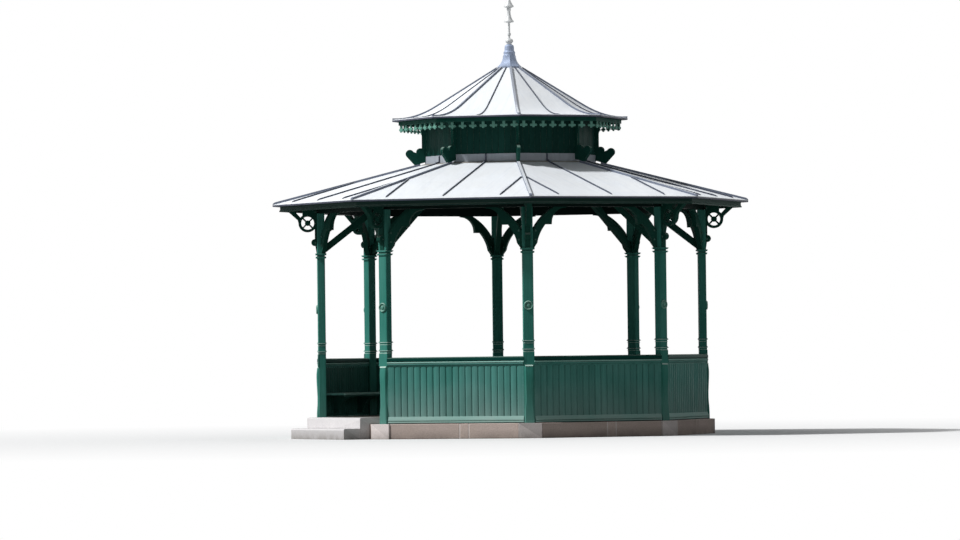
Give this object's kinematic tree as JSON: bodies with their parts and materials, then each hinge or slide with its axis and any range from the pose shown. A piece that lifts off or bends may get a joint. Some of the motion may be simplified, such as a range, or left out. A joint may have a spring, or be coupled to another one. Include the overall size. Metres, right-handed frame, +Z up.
{
  "type": "bandstand",
  "caption": "Open octagonal timber bandstand on a stone plinth with boarded dado, bench, cusped braces, shallow sheet roof, lantern with fretted valance and spired upper roof.",
  "frame": {"origin": "ground level, on the upright axis of the octagon", "axes": "+Z up; -Y through the middle of the open entrance side"},
  "size_m": [7.4928, 7.4928, 7.6051],
  "materials": {
    "plinth_stone": "rough pinkish stone",
    "landing_stone": "worn grey stone",
    "floor_boards": "weathered boards",
    "green_timber": "satin green paint",
    "dado_timber": "chalky faded green paint",
    "fascia_timber": "dark green paint",
    "frame_timber": "dark painted timber",
    "roof_sheet": "dull pale zinc",
    "finial_metal": "weathered zinc"
  },
  "bodies": {
    "root": {"plinth_wall": "plinth_stone", "plinth_piers": "plinth_stone", "floor_joists": "floor_boards", "floor_deck": "floor_boards", "entrance_landing": "landing_stone", "entrance_step": "landing_stone", "post_1": "green_timber", "post_2": "green_timber", "post_3": "green_timber", "post_4": "green_timber", "post_5": "green_timber", "post_6": "green_timber", "post_7": "green_timber", "post_8": "green_timber", "post_rosettes": "green_timber", "post_consoles": "green_timber", "dado_1": "dado_timber", "dado_2": "dado_timber", "dado_3": "dado_timber", "dado_4": "dado_timber", "dado_5": "dado_timber", "dado_6": "dado_timber", "dado_7": "dado_timber", "handrails": "dado_timber", "bench_seats": "dado_timber", "bench_brackets": "dado_timber", "eave_beams": "frame_timber", "side_braces": "green_timber", "roof_struts": "green_timber", "eave_brackets": "green_timber", "hip_rafters": "frame_timber", "common_rafters": "frame_timber", "lower_roof": "roof_sheet", "hip_rolls": "roof_sheet", "fascia": "fascia_timber", "lantern_curb": "frame_timber", "lantern_walls": "green_timber", "lantern_flashing": "roof_sheet", "lantern_brackets": "green_timber", "valance": "green_timber", "upper_roof": "roof_sheet", "upper_hip_rolls": "roof_sheet", "finial_collar": "finial_metal", "finial_bell": "finial_metal", "finial_spire": "finial_metal"}
  },
  "joints": []
}
